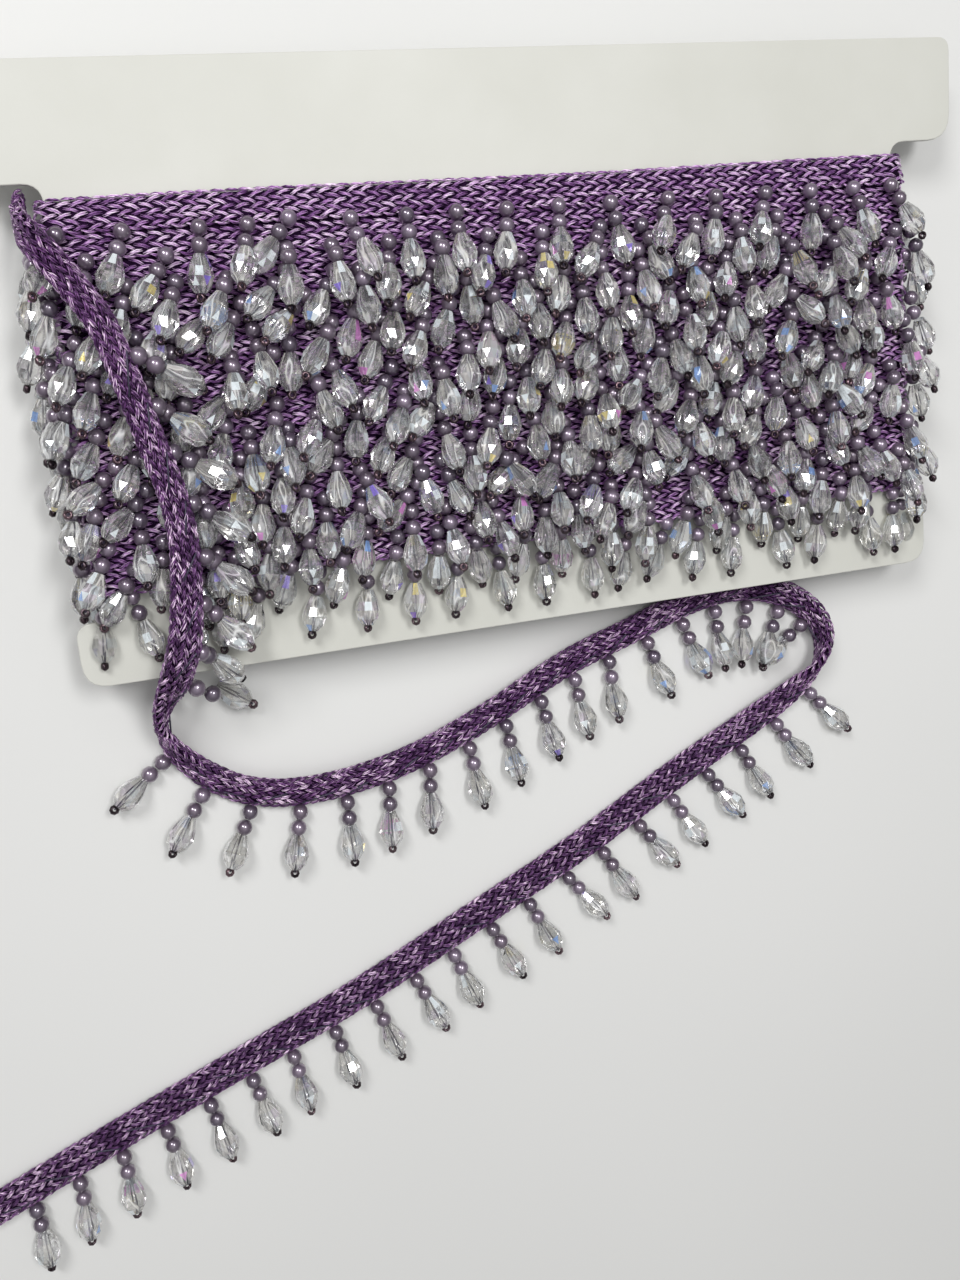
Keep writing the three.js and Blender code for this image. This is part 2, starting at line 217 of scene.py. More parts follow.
# %% Route of the loose end
ROUTE = [
    # x, y, lift, roll
    (-132.6, 47.2, 7.4, 90),
    (-132.9, 43, 14, 82),
    (-131.2, 38.6, 22.6, 50),
    (-127.4, 33, 28.3, 18),
    (-122.4, 25.5, 29.8, 0),
    (-116.6, 15, 29.8, 0),
    (-112.4, 0, 29.8, 0),
    (-109, -15, 29.8, 0),
    (-105.8, -29, 29.8, 0),
    (-104.6, -43, 29.8, 0),
    (-106, -57, 29.8, 0),
    (-108.4, -70, 29.8, 0),
    (-112.6, -81.8, 21.8, -24),
    (-116.6, -91.4, 8.6, -62),
    (-118.2, -100, 0.6, -98),
    (-114.8, -108.2, 0.1, -128),
    (-107, -117, 0.1, -146),
    (-97, -123.6, 0.1, -154),
    (-84, -127, 0.1, -156),
    (-66, -127, 0.1, -156),
    (-44, -123, 0.1, -156),
    (-18, -113.5, 0.1, -156),
    (10, -100.6, 0.1, -156),
    (34, -93, 0.1, -156),
    (54, -86.6, 0.1, -156),
    (70, -84.2, 0.1, -154),
    (85, -86.6, 0.1, -148),
    (97, -93.6, 0.1, -128),
    (103, -103.6, 0.1, -98),
    (101.4, -114.6, 0.1, -60),
    (93, -123, 0.1, -26),
    (76, -132.4, 0.1, -8),
    (46, -147, 0.1, 0),
    (10, -165.4, 0.1, 0),
    (-32, -184, 0.1, 0),
    (-74, -202, 0.1, 0),
    (-116, -217, 0.1, 0),
    (-156, -231.6, 0.1, 0),
    (-194, -246, 0.1, 0),
]
# the strip along the beaded edge, in mm
STRIP_GAP = 0.3
STRIP_WIDTH = 1.4
STRIP_HEIGHT = 1.2


def middle_height(roll):
    """Height of the tape's middle over the surface, in mm, when it is rolled by degrees. Rolled
    towards its beaded edge it stands on the strip that holds the drops."""
    standing = abs(math.sin(math.radians(roll)))
    lying = abs(math.cos(math.radians(roll)))
    on_tape = (TAPE_WIDTH * standing + TAPE_THICK * lying) / 2 / MM
    on_strip = (TAPE_WIDTH / 2 / MM + STRIP_GAP + STRIP_WIDTH) * standing + STRIP_HEIGHT / 2 * lying
    return max(on_tape, on_strip) if roll < 0 else on_tape


def through(values, steps):
    """Catmull-Rom curve through the rows of an array, with the ends drawn on straight."""
    ends = np.vstack([2 * values[0] - values[1], values, 2 * values[-1] - values[-2]])
    t = np.arange(steps)[:, None] / steps
    parts = []
    for a, b, c, d in zip(ends, ends[1:], ends[2:], ends[3:]):
        half = (c - a) * t + (2 * a - 5 * b + 4 * c - d) * t ** 2 + (3 * b - a - 3 * c + d) * t ** 3
        parts.append(b + half / 2)
    return np.vstack([*parts, values[-1:]])


route_table = np.array(ROUTE)
route_heights = route_table[:, 2] + [middle_height(roll) for roll in route_table[:, 3]]
route_points = np.column_stack([route_table[:, :2], route_heights]) * MM
STEPS_PER_POINT = 60
fine_points = through(route_points, STEPS_PER_POINT)
fine_index = np.arange(len(fine_points)) / STEPS_PER_POINT
fine_lift = np.interp(fine_index, range(len(ROUTE)), route_table[:, 2]) * MM
fine_roll = np.radians(np.interp(fine_index, range(len(ROUTE)), route_table[:, 3]))
fine_length = np.concatenate([[0], np.cumsum(np.linalg.norm(np.diff(fine_points, axis=0), axis=1))])
ROUTE_LENGTH = fine_length[-1]


def unit(vectors):
    """Rows made one long."""
    return vectors / np.linalg.norm(vectors, axis=-1, keepdims=True)


def route_middle(distance):
    """Middle of the tape at distances along it."""
    return np.column_stack([np.interp(distance, fine_length, column) for column in fine_points.T])


def route_frame(distance):
    """Middle, direction, direction to the beaded edge, direction out of the face and lift."""
    distance = np.atleast_1d(distance)
    step = 0.4 * MM
    along = unit(route_middle(distance + step) - route_middle(distance - step))
    left = unit(np.column_stack([-along[:, 1], along[:, 0], np.zeros(len(along))]))
    up = np.cross(along, left)
    roll = np.interp(distance, fine_length, fine_roll)[:, None]
    edge = left * np.cos(roll) + up * np.sin(roll)
    lift = np.interp(distance, fine_length, fine_lift)
    return route_middle(distance), along, edge, np.cross(along, edge), lift


# distance along the loose end in mm, share of its full width there
NARROWED = [(0, 0.9), (25, 0.74), (95, 0.72), (135, 0.86), (175, 1.0)]


def narrowing(distance):
    """The tape is pulled thin by its own weight where it crosses the pack."""
    return np.interp(distance / MM, *zip(*NARROWED))


def tape_frame(distance):
    """The route's frame, with the edge direction as long as the tape's share of its full width."""
    middle, along, edge, face, _ = route_frame(distance)
    return middle, along, edge * narrowing(distance)[:, None], face


print("loose end, mm:", round(ROUTE_LENGTH / MM))

# %% [markdown]
# ## Placing thousands of small parts
# A stitch or a bead is one small mesh, kept out of the scene and repeated. A Geometry Nodes tree sets a
# copy of it on every point of a cloud, turned and sized by values stored on the points, then makes the
# copies real and gives them their finish. The points come from this script, because they follow the tape
# and the pile.

# %% The placing tree
def placing_tree():
    """The tree, with its inputs for the points, the part and the finish."""
    tree = bpy.data.node_groups.new("place_small_parts", "GeometryNodeTree")
    sockets = [("Points", "Geometry"), ("Part", "Object"), ("Finish", "Material"),
               ("Size scatter", "Float"), ("Seed", "Int")]
    for name, kind in sockets:
        tree.interface.new_socket(name, in_out="INPUT", socket_type="NodeSocket" + kind)
    tree.interface.new_socket("Pieces", in_out="OUTPUT", socket_type="NodeSocketGeometry")
    start = node(tree, "NodeGroupInput").outputs
    part = node(tree, "GeometryNodeObjectInfo", {"Object": start["Part"]})
    turn = node(tree, "GeometryNodeInputNamedAttribute", {"Name": "turn"}, data_type="QUATERNION")
    size = node(tree, "GeometryNodeInputNamedAttribute", {"Name": "size"}, data_type="FLOAT_VECTOR")
    low = arithmetic(tree, "SUBTRACT", 1.0, start["Size scatter"])
    high = arithmetic(tree, "ADD", 1.0, start["Size scatter"])
    chance = node(tree, "FunctionNodeRandomValue", {"Min": low, "Max": high, "Seed": start["Seed"]},
                  data_type="FLOAT")
    scaled = node(tree, "ShaderNodeVectorMath",
                  {0: size.outputs["Attribute"], "Scale": chance.outputs["Value"]}, operation="SCALE")
    placed = node(tree, "GeometryNodeInstanceOnPoints",
                  {"Points": start["Points"], "Instance": part.outputs["Geometry"],
                   "Rotation": turn.outputs["Attribute"], "Scale": scaled.outputs[0]})
    real = node(tree, "GeometryNodeRealizeInstances", {"Geometry": placed.outputs[0]})
    dressed = node(tree, "GeometryNodeSetMaterial",
                   {"Geometry": real.outputs[0], "Material": start["Finish"]})
    node(tree, "NodeGroupOutput", {"Pieces": dressed.outputs[0]})
    return tree


PLACE = placing_tree()


def quaternions(along, out):
    """Turns that point a part's X along one direction and its Z as near as can be to another."""
    x = unit(along)
    y = unit(np.cross(out, x))
    z = np.cross(x, y)
    axes = np.stack([x, y, z], axis=2)
    return np.array([Matrix(rows).to_quaternion() for rows in axes.tolist()])


def place(name, part, finish, points, turns, sizes, tones, scatter=0.0, seed=1):
    """One piece made of a copy of the part on each point."""
    cloud = bpy.data.meshes.new(name + "_points")
    cloud.vertices.add(len(points))
    cloud.vertices.foreach_set("co", np.ravel(points))
    for label, kind, key, values in (("turn", "QUATERNION", "value", turns),
                                     ("size", "FLOAT_VECTOR", "vector", sizes),
                                     ("tone", "FLOAT", "value", tones)):
        cloud.attributes.new(label, kind, "POINT").data.foreach_set(key, np.ravel(values))
    carrier = linked(name + "_points", cloud)
    modifier = carrier.modifiers.new("place", "NODES")
    modifier.node_group = PLACE
    values = {"Part": part, "Finish": finish, "Size scatter": scatter, "Seed": seed}
    for item in PLACE.interface.items_tree:
        if item.name in values:
            modifier[item.identifier] = values[item.name]
    bpy.context.view_layer.update()
    evaluated = carrier.evaluated_get(bpy.context.evaluated_depsgraph_get())
    mesh = bpy.data.meshes.new_from_object(evaluated)
    mesh.name = name
    bpy.data.objects.remove(carrier)
    for spare in ("turn", "size"):
        if spare in mesh.attributes:
            mesh.attributes.remove(mesh.attributes[spare])
    print(f"{name}: {len(points)} parts, {sum(len(p.vertices) - 2 for p in mesh.polygons)} triangles")
    return linked(name, mesh)


def mesh_from(name, verts, faces, smooth=True):
    """A mesh, shaded smooth or flat."""
    mesh = bpy.data.meshes.new(name)
    mesh.from_pydata([tuple(v) for v in verts], [], faces)
    mesh.polygons.foreach_set("use_smooth", [smooth] * len(mesh.polygons))
    mesh.update()
    return mesh


def tube_faces(rings, sides, closed=False):
    """Faces of a tube whose vertices come ring by ring, capped unless it closes on itself."""
    faces = []
    for ring in range(rings if closed else rings - 1):
        after = (ring + 1) % rings
        for side in range(sides):
            far = (side + 1) % sides
            faces.append((ring * sides + side, ring * sides + far, after * sides + far, after * sides + side))
    if not closed:
        faces.append(tuple(reversed(range(sides))))
        faces.append(tuple(range((rings - 1) * sides, rings * sides)))
    return faces


def tidy(mesh):
    """Faces pointed outwards."""
    work = bmesh.new()
    work.from_mesh(mesh)
    bmesh.ops.recalc_face_normals(work, faces=work.faces)
    work.to_mesh(mesh)
    work.free()
    return mesh


random = np.random.default_rng(7)


# %% [markdown]
# ## Finishes
# The yarn is lustrous viscose: each stitch is a bundle of fine filaments that shine along their length.
# Its colour holds painted light: lilac to near white painted highlights on the filaments and near black
# painted shade in the holes. The pearls are lacquered plastic, mauve grey with a wet shine. The teardrops
# are pressed and cut glass with a thin rainbow coat that tints single facets; painted streaks, painted
# glints and some of that tint are in the glass's colour. The card is white coated board.

# %% Yarn
TONE_SHIFT = 37.0


def drawn_out(tree, tone, map_name, stretch):
    """Places for noise that runs along each stitch or bead, and differs from one to the next."""
    uv = node(tree, "ShaderNodeUVMap", uv_map=map_name)
    split = node(tree, "ShaderNodeSeparateXYZ", {0: uv.outputs[0]})
    shifted = arithmetic(tree, "MULTIPLY", tone, TONE_SHIFT)
    spot = node(tree, "ShaderNodeCombineXYZ", {0: split.outputs[0], 1: split.outputs[1], 2: shifted})
    inputs = {0: spot.outputs[0], 1: stretch}
    return node(tree, "ShaderNodeVectorMath", inputs, operation="MULTIPLY").outputs[0]


def yarn_finish(name, stops):
    """Knitted viscose yarn: a satin shine broken by filaments that run along each stitch, with painted
    light in the base colour: near black painted shade up to near white painted highlights along the
    filaments.
    """
    material, tree = new_material(name)
    tone = stored(tree, "tone")
    filaments = noise(tree, drawn_out(tree, tone, "stitch", (0.9, 4.5, 1.0)), 1.6, 1.0)
    # painted light: the filament noise, with a little of the copy's random tone, sets how bright each spot of
    # yarn is painted
    tone_and_painted_light = arithmetic(tree, "MULTIPLY_ADD", tone, 0.2, arithmetic(tree, "MULTIPLY", filaments, 0.8))
    return surface(material, {
        "Base Color": ramp(tree, tone_and_painted_light, stops), "Roughness": 0.3,
        "Normal": bump(tree, filaments, 0.5, 0.12 * MM),
        "Specular IOR Level": 0.85, "Specular Tint": linear("#dcaeea"),
        "Sheen Weight": 0.15, "Sheen Roughness": 0.4, "Sheen Tint": linear("#d9b4e4")})


# the wound yarn's stops run from near black painted shade in the holes to near white painted highlights
YARN = yarn_finish("knitted_viscose_yarn",
                   [(0.34, "#200c28"), (0.44, "#7d4a90"), (0.53, "#c692d0"), (0.62, "#ffecff")])
# the same yarn on the loose end as a shaded copy: its stops are painted darker than the wound turns' lit
# copy, with sparse painted highlights
LOOSE_YARN_PAINTED_DARKER = yarn_finish("loose_viscose_yarn_painted_darker",
                         [(0.33, "#180820"), (0.48, "#4c2a57"), (0.58, "#85558f"), (0.65, "#fce4fa")])
# painted shade: a near black inner tube stands for the yarn deep between the stitches, where little light
# reaches
PAINTED_SHADE_CORE = simple_finish("yarn_painted_shade", [(0.3, "#12051a"), (0.7, "#240d2c")],
                          {"Roughness": 0.95, "Specular IOR Level": 0.1}, grain=900.0)


# %% Pearl, glass, seed bead, thread and board
def glass_finish():
    """Cut glass with a rainbow coat. Painted refraction: streaks run down each bead, where the flats behind
    would show through, as bands that let less light through. Painted glints: a few flats let much less light
    through, so they show as bright flats, and the vivid tints of the coat show as coloured glints."""
    material, tree = new_material("coated_cut_glass")
    tone = stored(tree, "tone")
    painted_streaks = noise(tree, drawn_out(tree, tone, "bead", (7.0, 0.9, 1.0)), 1.0, 0.5)
    # painted refraction: the streaks let less light through in bands, painting lighter and darker streaks
    # down the bead
    clear = ramp(tree, painted_streaks, [
        (0.38, "#fcfcfc"), (0.44, "#e2e2e2"), (0.49, "#fcfcfc"), (0.56, "#f2f2f2"), (0.6, "#a8a8a8"),
        (0.64, "#f6f6f6"), (0.72, "#d8d8d8")])
    pair = node(tree, "ShaderNodeCombineXYZ", {0: tone, 1: stored(tree, "facet")}).outputs[0]
    dice = node(tree, "ShaderNodeTexWhiteNoise", {"Vector": pair}, noise_dimensions="3D").outputs["Value"]
    # the coat's colour on each flat: pale on most and vivid on a few, which are also painted as coloured
    # glints
    tint = ramp(tree, dice, [
        (0.0, "#ffffff"), (0.45, "#f6f4ee"), (0.78, "#f2e8f4"), (0.87, "#e6eef2"), (0.977, "#9c84f4"),
        (0.983, "#90b8f8"), (0.989, "#f8e48c"), (0.995, "#ee96e6")], "CONSTANT")
    # painted glints: the flats from 0.87 to 0.91 let little light through and show as bright flats, the vivid
    # ones about half as much
    painted_glint_clearness = ramp(tree, dice, [
        (0.0, "#fefefe"), (0.5, "#f0f0f0"), (0.7, "#fefefe"), (0.87, "#808080"), (0.91, "#f4f4f4"),
        (0.977, "#c4c4c4")], "CONSTANT")
    return surface(material, {
        "Base Color": tint, "Roughness": 0.02, "IOR": 1.6,
        "Transmission Weight": arithmetic(tree, "MULTIPLY", clear, painted_glint_clearness),
        "Coat Weight": 1.0, "Coat IOR": 1.7, "Coat Roughness": 0.02})


def board_finish():
    """White coated board: an even satin skin over a faint mottle."""
    material, tree = new_material("coated_white_board")
    mottle = noise(tree, in_object(tree), 30.0, 6.0)
    fibre = noise(tree, in_object(tree), 1500.0, 3.0)
    return surface(material, {
        "Base Color": ramp(tree, mottle, [(0.3, "#c4c4bc"), (0.7, "#cacac3")]), "Roughness": 0.5,
        "Normal": bump(tree, fibre, 0.15, 0.1 * MM)})


# pearl lacquer over plastic: a dark mauve body under a clear coat with a sharp highlight
PEARL = simple_finish("pearl_lacquer", [(0.0, "#5c5062"), (0.5, "#6e5f70"), (1.0, "#87788c")],
                      {"Roughness": 0.38, "Metallic": 0.55, "Coat Weight": 1.0, "Coat Roughness": 0.04,
                       "Coat IOR": 1.9})
GLASS = glass_finish()
# a small glass bead with a fired metal glaze, nearly black with a red cast
SEED = simple_finish("metal_glazed_seed_bead", [(0.0, "#292025"), (0.6, "#44383e"), (1.0, "#645056")],
                     {"Roughness": 0.18, "Metallic": 0.75})
# twisted polyester thread, matt and dark blue grey
THREAD = simple_finish("polyester_bead_thread", [(0.35, "#2a2536"), (0.65, "#4b4559")],
                       {"Roughness": 0.55}, grain=2400.0)
BOARD = board_finish()


# %% [markdown]
# ## The card
# The card keeps the construction model's outline. A copy of it gets softened edges, because die-cut
# board has no knife edge, and then stands in for the plain one.

# %% Card
def winding_card():
    """The model's card with its sharp edges rounded."""
    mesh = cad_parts["winding_card"].data.copy()
    work = bmesh.new()
    work.from_mesh(mesh)
    bmesh.ops.remove_doubles(work, verts=work.verts, dist=0.01 * MM)
    flat_enough = math.radians(1)
    bmesh.ops.dissolve_limit(work, angle_limit=flat_enough, verts=work.verts, edges=work.edges)
    bmesh.ops.recalc_face_normals(work, faces=work.faces)
    sharp_angle = math.radians(60)
    sharp = [e for e in work.edges if len(e.link_faces) == 2 and e.calc_face_angle() > sharp_angle]
    bmesh.ops.bevel(work, geom=sharp, offset=0.3 * MM, segments=2, profile=0.5, affect="EDGES")
    work.to_mesh(mesh)
    work.free()
    mesh.name = "card"
    mesh.materials.clear()
    mesh.materials.append(BOARD)
    return linked("card", mesh)


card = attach(winding_card(), "root")
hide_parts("winding_card")


# %% [markdown]
# ## The stitch
# A knitted wale is a chain of V shapes. One leg of a V is a short bundle of yarn, arched in the middle,
# with its ends sunk into the next stitch. It is drawn one unit long, wide and high, as three strands that
# cross, with a map that runs along and around each of them. Behind the card two thicker strands do.

# %% One leg of a stitch
def stitch_leg(name, strands, thick):
    """A leg as a few strands of yarn that cross each other, one unit long, wide and high."""
    sides = 3
    lengths = [(-0.5, 0.25), (-0.18, 1.0), (0.16, 1.0), (0.5, 0.3)]
    half_turns, beside, above, arch = 0.8, 0.3, 0.16, 1.2
    angles = [2 * math.pi * side / sides for side in range(sides)]
    verts, faces, spots = [], [], []
    for strand in range(strands):
        phase = 2 * math.pi * strand / strands
        for x, swell in lengths:
            twist = phase + x * math.pi * half_turns
            middle = (beside * math.cos(twist), above * math.sin(twist) - arch * x * x)
            for side, angle in enumerate(angles):
                verts.append((x, middle[0] + thick * swell * math.cos(angle),
                              middle[1] + thick * swell * math.sin(angle)))
                spots.append((x + 0.5, strand + side / sides))
        first = strand * len(lengths) * sides
        faces += [tuple(first + index for index in face) for face in tube_faces(len(lengths), sides)]
    mesh = tidy(mesh_from(name, verts, faces))
    uv = mesh.uv_layers.new(name="stitch")
    for loop in mesh.loops:
        uv.data[loop.index].uv = spots[loop.vertex_index]
    return bpy.data.objects.new(name, mesh)


LEG = stitch_leg("stitch_leg", strands=3, thick=0.25)
PLAIN_LEG = stitch_leg("plain_stitch_leg", strands=2, thick=0.3)
STITCH_PITCH = 3.8 * MM
ROW_SPACING = 1.6 * MM
LEG_SIZE = np.array([4.4, 1.06, 1.1]) * MM
LEG_SLANT = math.radians(19)
LOOSE_PITCH = 2.9 * MM
LOOSE_LEG_SIZE = np.array([3.7, 1.24, 1.1]) * MM
LOOSE_SLANT = math.radians(25)
LEG_SINK = 0.12 * MM
# how uneven the stitches are: along the row, across it, in slant and in size
ALONG_SCATTER = 0.16 * MM
ACROSS_SCATTER = 0.07 * MM
SLANT_SCATTER = 0.06
SIZE_SCATTER = 0.08


def section_length(width, thick):
    """The way round a flat tube's section."""
    return 2 * (width - thick) + math.pi * thick


def stadium(position, width, thick):
    """Point and outward direction at a distance round a flat tube's section, from the middle of
    its upper face towards its beaded edge. Across is towards that edge, up is out of the face."""
    radius = thick / 2
    half = (width - thick) / 2
    position = position % section_length(width, thick)
    start = 0.0
    for side, straight in ((1, half), (-1, 2 * half), (1, 2 * half)):
        if position < straight:
            break
        position -= straight
        start = side * half
        if position < math.pi * radius:
            angle = side * math.pi / 2 - position / radius
            across, up = math.cos(angle), math.sin(angle)
            return start + radius * across, radius * up, across, up
        position -= math.pi * radius
    return start + side * position, side * radius, 0.0, float(side)


def leg_rows(place_at, rows, stitches, pitch, width, thick, slant_angle=LEG_SLANT, phase=0.0):
    """Points, directions and outward directions of the legs of V stitches. Each row holds the
    legs of one slant, and the next row those of the other, half a stitch along.
    place_at gives the middle, direction along, to the edge and out of the face at distances."""
    points, heads, outs = [], [], []
    for number, row in rows:
        side = 1 - 2 * (number % 2)
        distance = (np.arange(stitches) + 0.5 + 0.25 * side) * pitch + phase
        distance = distance + random.normal(0, ALONG_SCATTER, stitches)
        middle, along, edge, face = place_at(distance)
        across, up, out_across, out_up = stadium(row, width, thick)
        out = out_across * edge + out_up * face
        beside = out_up * edge - out_across * face
        slant = (side * (slant_angle + random.normal(0, SLANT_SCATTER, stitches)))[:, None]
        head = along * np.cos(slant) + beside * np.sin(slant)
        drift = random.normal(0, ACROSS_SCATTER, (stitches, 1)) * beside
        points.append(middle + across * edge + up * face - LEG_SINK * out + drift)
        heads.append(head)
        outs.append(out)
    return np.vstack(points), np.vstack(heads), np.vstack(outs)


def knitted(name, legs, hidden, size, finish, seed):
    """Stitch legs in their places as two pieces, the plainer legs where they are hidden."""
    points, heads, outs = legs
    tones = random.uniform(0, 1, len(points))
    return [place(name, part, finish, points[side], quaternions(heads[side], outs[side]),
                  np.tile(size, (side.sum(), 1)), tones[side], SIZE_SCATTER, seed)
            for part, side in ((LEG, ~hidden), (PLAIN_LEG, hidden))]


# %% [markdown]
# ## The loose tape
# The tape is a knitted tube pressed flat. A near black inner tube fills it as painted shade between the
# stitches, and fourteen rows of stitch legs lie on that, all the way round, so it looks right from any side
# and through both half twists. Slack, it is a little wider and flatter than when it is stretched.

# %% Loose tape
LOOSE_WIDTH = TAPE_WIDTH * 1.13
LOOSE_THICK = TAPE_THICK * 0.92
LOOSE_CORE = (TAPE_WIDTH * 0.92, TAPE_THICK * 0.54)
LOOSE_STITCH_ROWS = 14
# legs whose outward direction falls more steeply than this are out of sight
FACING_DOWN = -0.1


def swept(name, middles, edges, faces, width, thick, finish, closed=False):
    """A flat tube through the middles, its section following the edge and face directions."""
    sides = 12
    total = section_length(width, thick)
    ring = [stadium(total * (side + 0.5) / sides, width, thick)[:2] for side in range(sides)]
    verts = [m + a * e + u * f for m, e, f in zip(middles, edges, faces) for a, u in ring]
    mesh = tidy(mesh_from(name, verts, tube_faces(len(middles), sides, closed)))
    mesh.materials.append(finish)
    return linked(name, mesh)


def joined(pieces, name):
    """Several pieces as one."""
    bpy.ops.object.select_all(action="DESELECT")
    for piece in pieces:
        piece.select_set(True)
    bpy.context.view_layer.objects.active = pieces[0]
    bpy.ops.object.join()
    pieces[0].name = name
    pieces[0].data.name = name
    return pieces[0]


def loose_tape():
    """The knitted loose end, and the line of middles that it follows."""
    steps = int(ROUTE_LENGTH / (3 * MM))
    middle, _, edge, face = tape_frame(np.linspace(0, ROUTE_LENGTH, steps + 1))
    core = swept("loose_core", middle, edge, face, *LOOSE_CORE, PAINTED_SHADE_CORE)
    around = section_length(LOOSE_WIDTH, LOOSE_THICK)
    rows = [(number, around * (number + 0.5) / LOOSE_STITCH_ROWS) for number in range(LOOSE_STITCH_ROWS)]
    stitches = round(ROUTE_LENGTH / LOOSE_PITCH)
    legs = leg_rows(tape_frame, rows, stitches, LOOSE_PITCH, LOOSE_WIDTH, LOOSE_THICK, LOOSE_SLANT)
    below = legs[2][:, 2] < FACING_DOWN
    knit = knitted("loose_stitches", legs, below, LOOSE_LEG_SIZE, LOOSE_YARN_PAINTED_DARKER, seed=3)
    return joined([*knit, core], "loose_knitted_tape"), middle


loose, loose_path = loose_tape()
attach(loose, "root")
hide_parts("loose_tape")


# %% [markdown]
# ## The wound tape
# Each turn goes once round the card's waist. Wound tight, the tube is half as thick, and every turn's
# lower edge lies on the upper edge of the turn below it, like a roof tile. Only the wales that show are
# knitted: the lower edge and the outer face. Under them a near black inner tube is painted shade between
# the stitches.

# %% Path round the waist
WRAP_RADIUS = 2.0 * MM
CARD_HALF_THICK = (CARD_FRONT - CARD_BACK) / 2
wrap_parts = [2 * WAIST_HALF, math.pi / 2 * WRAP_RADIUS, 2 * CARD_HALF_THICK, math.pi / 2 * WRAP_RADIUS] * 2
WRAP_LENGTH = sum(wrap_parts)


def wrap_frame(distance):
    """Base point on the card, direction and outward direction at distances round the waist, from
    the left end of the front to the right, round the edge and back behind."""
    corners = [(-1, 1), (1, 1), (1, -1), (-1, -1)]
    base, along, out = [], [], []
    for value in np.atleast_1d(distance) % WRAP_LENGTH:
        leg = 0
        while value > wrap_parts[leg]:
            value -= wrap_parts[leg]
            leg += 1
        side, turning = divmod(leg, 2)
        heading = math.radians([0, -90, 180, 90][side]) - turning * value / WRAP_RADIUS
        direction = (math.cos(heading), math.sin(heading))
        corner = corners[(side + turning) % 4]
        run = 0 if turning else value
        base.append((corner[0] * WAIST_HALF + direction[0] * run,
                     corner[1] * CARD_HALF_THICK + direction[1] * run))
        along.append(direction)
        out.append((-direction[1], direction[0]))
    lifted = [np.insert(np.array(rows), 1, 0, axis=1) for rows in (base, along, out)]
    lifted[0][:, 2] += CARD_MIDDLE
    return lifted


SHINGLE_RISE = (TAPE_THICK - WOUND_THICK) / (TAPE_WIDTH - WOUND_THICK)
DOWN = np.array([0.0, -1.0, 0.0])
WAVER = 0.3 * MM
WAVER_LENGTH = 31 * MM
# how far each turn's stitches are set off from those above
TURN_SHIFT = 1.3 * MM
TOP_TURN_ROWS = 7
TURN_ROWS = 5
CORE_STEPS = 72
WOUND_CORE = (TAPE_WIDTH * 0.9, WOUND_THICK * 0.45)


def turn_frame(turn):
    """The frame function of one turn, tilted like a tile and a little uneven."""
    uneven = turn * 0.37 % 1
    phase = 2 * math.pi * uneven
    tilt = math.atan(SHINGLE_RISE)
    mid_height = GAP + (TAPE_THICK + WOUND_THICK) / 2 - WOUND_THICK / 2

    def at(distance):
        base, along, out = wrap_frame(distance)
        edge = DOWN * math.cos(tilt) + out * math.sin(tilt)
        face = out * math.cos(tilt) - DOWN * math.sin(tilt)
        middle = base + out * mid_height
        middle[:, 1] = lower_edge(turn) + TAPE_WIDTH / 2 + WAVER * np.sin(distance / WAVER_LENGTH + phase)
        return middle, along, edge, face

    return at


def wound_turns(first, last, name):
    """The knitted turns from first to last, as one piece."""
    stitches = round(WRAP_LENGTH / STITCH_PITCH)
    pitch = WRAP_LENGTH / stitches
    edge_row = (TAPE_WIDTH - WOUND_THICK) / 2 + math.pi * WOUND_THICK / 4
    clouds, cores = [], []
    for turn in range(first, last):
        at = turn_frame(turn)
        shown = TOP_TURN_ROWS if turn == 0 else TURN_ROWS
        rows = [(number, edge_row - number * ROW_SPACING) for number in range(shown)]
        clouds.append(leg_rows(at, rows, stitches, pitch, TAPE_WIDTH, WOUND_THICK, phase=turn * TURN_SHIFT))
        # a near black inner tube under each turn's stitches: painted shade between them
        middle, _, edge, face = at(np.linspace(0, WRAP_LENGTH, CORE_STEPS, endpoint=False))
        cores.append(swept("core", middle, edge, face, *WOUND_CORE, PAINTED_SHADE_CORE, closed=True))
    legs = [np.vstack(part) for part in zip(*clouds)]
    behind = legs[0][:, 2] < CARD_MIDDLE
    knit = knitted(name, legs, behind, LEG_SIZE, YARN, seed=5 + first)
    return joined([*knit, *cores], name)


TURNS_PER_PIECE = 5
for first in range(0, TURNS, TURNS_PER_PIECE):
    piece = wound_turns(first, first + TURNS_PER_PIECE, f"wound_tape_turns_{first + 1:02d}")
    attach(piece, "root")
    if first == 0:
        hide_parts("wound_tape")


# %% [markdown]
# ## The beads
# A drop is threaded in this order: two pearls, a cut glass teardrop, and a seed bead that stops the
# thread. The teardrop has ten long flats down to its belly, a band of kites and a band of short flats,
# because the sparkle comes from true flats. A value on each flat lets the coat tint some of them and
# picks the few flats that are painted as glints.

# %% Bead shapes
PEARL_RADIUS = 2.36 * MM
DROP_LENGTH = 10.2 * MM
DROP_RADIUS = 3.7 * MM
SEED_RADIUS = 1.4 * MM
THREAD_RADIUS = 0.28 * MM
# share of the teardrop's length, radius against its widest, turn in flats
TEARDROP_PROFILE = [(0.0, 0.46, 0), (0.33, 0.85, 0), (0.58, 1.0, 0), (0.83, 0.82, 0.5), (1.0, 0.42, 0.5)]


def pearl_part():
    """A round bead."""
    work = bmesh.new()
    bmesh.ops.create_icosphere(work, subdivisions=2, radius=PEARL_RADIUS)
    mesh = bpy.data.meshes.new("pearl")
    work.to_mesh(mesh)
    work.free()
    mesh.polygons.foreach_set("use_smooth", [True] * len(mesh.polygons))
    return bpy.data.objects.new("pearl", mesh)


